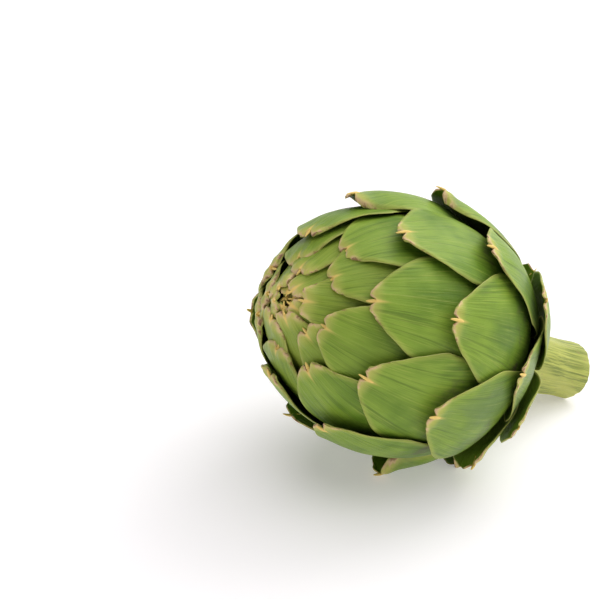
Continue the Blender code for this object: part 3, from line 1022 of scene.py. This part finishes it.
def make_heart_and_stalk(material):
    side = heart_side()
    rim_radius, rim_height = side[0]
    hollow = [(across * rim_radius, rim_height - deep * HEART_HOLLOW) for across, deep in HOLLOW_FLOOR]
    stalk = stalk_outline(side[-1][1] - STALK_FLARE, -stalk_length())
    points, faces = closed_lathe(hollow + side + stalk, STALK_TURNS, stalk_relief)
    radius = np.hypot(points[:, 0], points[:, 1])
    far, near = CUT_DEPTH
    cut = ramp(-points[:, 2], stalk_length() - far, stalk_length() - near)
    cut = cut * ramp(radius, *CUT_RADIUS)
    level = np.maximum(radius, MM) / STALK_RADIUS
    ridge, peeled = stalk_ribs(points[:, 0] / level, points[:, 1] / level, points[:, 2])
    # The zone's first value marks the furrows, where the material paints shade into the grooves.
    zone = np.stack([ramp(-ridge, *FURROW), peeled, cut], axis=-1)
    attributes = {"grain": points / MM, "zone": zone}
    piece = make_piece("heart_and_stalk_skin", to_world(points), faces, material, attributes)
    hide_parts("heart_and_stalk")


def choke_profile():
    """The choke's dome as radius and height from its top down, the heart's rim height, and its floor."""
    rim_radius, rim_height = heart_side()[0]
    floor = rim_height - HEART_HOLLOW + GAP
    dome = [(across * rim_radius, floor + high * CHOKE_HEIGHT) for across, high in CHOKE_DOME]
    return dome, rim_height, floor


def bristle_faces(first):
    """The faces of one closed bristle whose points start at this index."""
    faces = []
    for ring in range(len(BRISTLE_LEVELS) - 1):
        near = first + ring * BRISTLE_SIDES
        far = near + BRISTLE_SIDES
        for step in range(BRISTLE_SIDES):
            after = (step + 1) % BRISTLE_SIDES
            faces.append((near + step, near + after, far + after, far + step))
    last = first + (len(BRISTLE_LEVELS) - 1) * BRISTLE_SIDES
    faces.append(tuple(first + step for step in range(BRISTLE_SIDES))[::-1])
    faces.append(tuple(last + step for step in range(BRISTLE_SIDES)))
    return faces


def make_choke(material):
    """A pad of fine bristles that fills the dome over the heart's hollow."""
    dome, rim_height, floor = choke_profile()
    across = np.array([radius for radius, _ in dome])
    heights = np.array([height for _, height in dome])
    random = np.random.default_rng(BRISTLE_DRAW)
    corners = np.arange(BRISTLE_SIDES) * 2.0 * math.pi / BRISTLE_SIDES
    ring = np.stack([np.cos(corners), np.sin(corners), 0.0 * corners], axis=-1)
    points, faces = [], []
    for index in range(BRISTLES):
        share = math.sqrt((index + 0.5) / BRISTLES)
        turn = math.radians(GOLDEN_ANGLE) * index
        head = share * across[-1]
        foot = BRISTLE_FOOT * head
        top = np.interp(head, across, heights) - random.uniform(0.0, BRISTLE_SHORTER) * MM
        bottom = floor + share**2 * (rim_height - floor)
        bend = random.normal(0.0, BRISTLE_BEND, 2) * MM
        faces += bristle_faces(len(points))
        for raised, thick in BRISTLE_LEVELS:
            radius = foot + (head - foot) * raised
            level = bottom + (top - bottom) * raised
            middle = np.array([radius * math.cos(turn), radius * math.sin(turn), level])
            middle[:2] += bend * raised
            points += list(middle + thick * BRISTLE_RADIUS * ring)
    piece = make_piece("choke_bristles", to_world(np.array(points)), faces, material, {})
    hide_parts("choke")


def bud_profile():
    """The closed outline, in the plane of the axis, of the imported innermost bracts."""
    inset = INNER_THICKNESS + BUD_INSET * GAP
    outside = [meridian(1, latitude, inset) for latitude in BUD_LATITUDES]
    dome, rim_height, _ = choke_profile()
    rim_radius = heart_side()[0][0]
    foot = [(across * rim_radius, rim_height + BUD_RAISED * GAP) for across in BUD_FOOT]
    inside = [(radius + CHOKE_CLEARANCE, height + CHOKE_CLEARANCE) for radius, height in dome[:0:-1]]
    crown = dome[0][1] + CHOKE_CLEARANCE
    pore = [(PORE_WAIST * PORE_RADIUS, crown + PORE_FLOOR), (PORE_RADIUS, outside[0][1] - PORE_LIP)]
    return outside + foot + inside + pore


def bud_core():
    """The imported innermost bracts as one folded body, open at the pore and over the choke."""
    corners = np.array(bud_profile())
    steps = np.linalg.norm(np.roll(corners, -1, axis=0) - corners, axis=1)
    marks = np.concatenate([[0.0], np.cumsum(steps)])
    travel = np.linspace(0.0, marks[-1], BUD_RINGS, endpoint=False)[:, None]
    radius = np.interp(travel, marks, np.append(corners[:, 0], corners[0, 0]))
    height = np.interp(travel, marks, np.append(corners[:, 1], corners[0, 1]))
    angle = (np.arange(BUD_TURNS) * 2.0 * math.pi / BUD_TURNS)[None, :]
    folds = np.sin(BUD_FOLDS * angle + travel / BUD_FOLD_TWIST) * ramp(radius, *BUD_FOLD_RADIUS)
    radius = radius * np.ones_like(angle) - BUD_FOLD * (1.0 + folds)
    height = height * np.ones_like(angle)
    points = np.stack([radius * np.cos(angle), radius * np.sin(angle), height], axis=-1).reshape(-1, 3)
    faces = []
    for ring in range(BUD_RINGS):
        for step in range(BUD_TURNS):
            after = (step + 1) % BUD_TURNS
            near, far = ring * BUD_TURNS, (ring + 1) % BUD_RINGS * BUD_TURNS
            faces.append((near + step, near + after, far + after, far + step))
    around = np.broadcast_to(angle * BUD_GRAIN, radius.shape)
    grain = np.stack([around, np.broadcast_to(travel / MM, radius.shape), 0.0 * radius], axis=-1)
    zone = np.tile(BUD_ZONE, (radius.size, 1))
    return to_world(points), faces, grain.reshape(-1, 3), zone


def make_innermost_bud(material):
    """The folded body and the tiny leaves of the pore, as one piece."""
    shapes = [bud_core()] + [bract_shape(rank) for rank in range(1 - PORE_LEAVES, 1)]
    faces = []
    first = 0
    for points, own_faces, _, _ in shapes:
        faces += [tuple(first + corner for corner in face) for face in own_faces]
        first += len(points)
    points, grain, zone = (np.concatenate([shape[index] for shape in shapes]) for index in (0, 2, 3))
    attributes = {"grain": grain, "zone": zone}
    piece = make_piece("innermost_bud_leaves", points, faces, material, attributes)
    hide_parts("innermost_bud")


# ---------------------------------------------------------------- stage


def make_floor():
    bpy.ops.mesh.primitive_plane_add(size=FLOOR_SIZE)
    floor = bpy.context.object
    floor.name = "floor"
    floor.data.materials.append(floor_material())


def area_light(name, location, size, power, target):
    light = bpy.data.lights.new(name, "AREA")
    light.shape = "SQUARE"
    light.size = size
    light.energy = power
    lamp = bpy.data.objects.new(name, light)
    bpy.context.scene.collection.objects.link(lamp)
    lamp.location = location
    lamp.rotation_euler = (Vector(target) - Vector(location)).to_track_quat("-Z", "Y").to_euler()


def make_world():
    """White haze at the horizon, dimmer overhead, so that the lamps shape the light."""
    world = bpy.data.worlds.new("studio")
    bpy.context.scene.world = world
    world.use_nodes = True
    tree = world.node_tree
    where = node(tree, "ShaderNodeTexCoord").outputs["Generated"]
    height = node(tree, "ShaderNodeSeparateXYZ", {0: where}).outputs[2]
    haze = part_of(tree, HORIZON_LIGHT - SKY_LIGHT, between(tree, height, *HORIZON_BAND))
    strength = maths(tree, "ADD", haze, SKY_LIGHT)
    tree.links.new(strength, tree.nodes["Background"].inputs["Strength"])
    tree.nodes["Background"].inputs["Color"].default_value = (1.0, 1.0, 1.0, 1.0)


def make_light():
    make_world()
    sun = bpy.data.lights.new("overhead", "SUN")
    sun.energy = SUN_STRENGTH
    sun.angle = math.radians(SUN_WIDTH)
    lamp = bpy.data.objects.new("overhead", sun)
    bpy.context.scene.collection.objects.link(lamp)
    lamp.rotation_euler = Vector(SUN_FROM).to_track_quat("Z", "Y").to_euler()
    area_light("softbox", SOFTBOX_AT, SOFTBOX_SIZE, SOFTBOX_POWER, SOFTBOX_AIM)


def make_camera():
    """The view, with the bud right of the picture's middle, from the left and a little above."""
    azimuth = math.radians(VIEW_AZIMUTH)
    elevation = math.radians(VIEW_ELEVATION)
    level = math.cos(elevation)
    back = Vector((math.sin(azimuth) * level, -math.cos(azimuth) * level, math.sin(elevation)))
    right = Vector((math.cos(azimuth), math.sin(azimuth), 0.0))
    up = back.cross(right)
    middle = Vector(BUD_TO_WORLD[:3, 3])
    location = middle - right * AIM_LEFT + up * AIM_ABOVE + back * VIEW_DISTANCE
    camera = bpy.data.cameras.new("camera")
    camera.lens = LENS
    view = bpy.data.objects.new("camera", camera)
    bpy.context.scene.collection.objects.link(view)
    turn = Matrix((right, up, back)).transposed().to_4x4()
    view.matrix_world = Matrix.Translation(location) @ turn
    bpy.context.scene.camera = view
    bpy.context.scene.view_settings.view_transform = "Standard"


def build():
    make_camera()
    make_light()
    make_floor()
    leaf = bract_material()
    for rank in range(1, BRACTS + 1):
        make_bract(rank, leaf)
    make_innermost_bud(leaf)
    make_heart_and_stalk(stalk_material())
    make_choke(choke_material())


build()
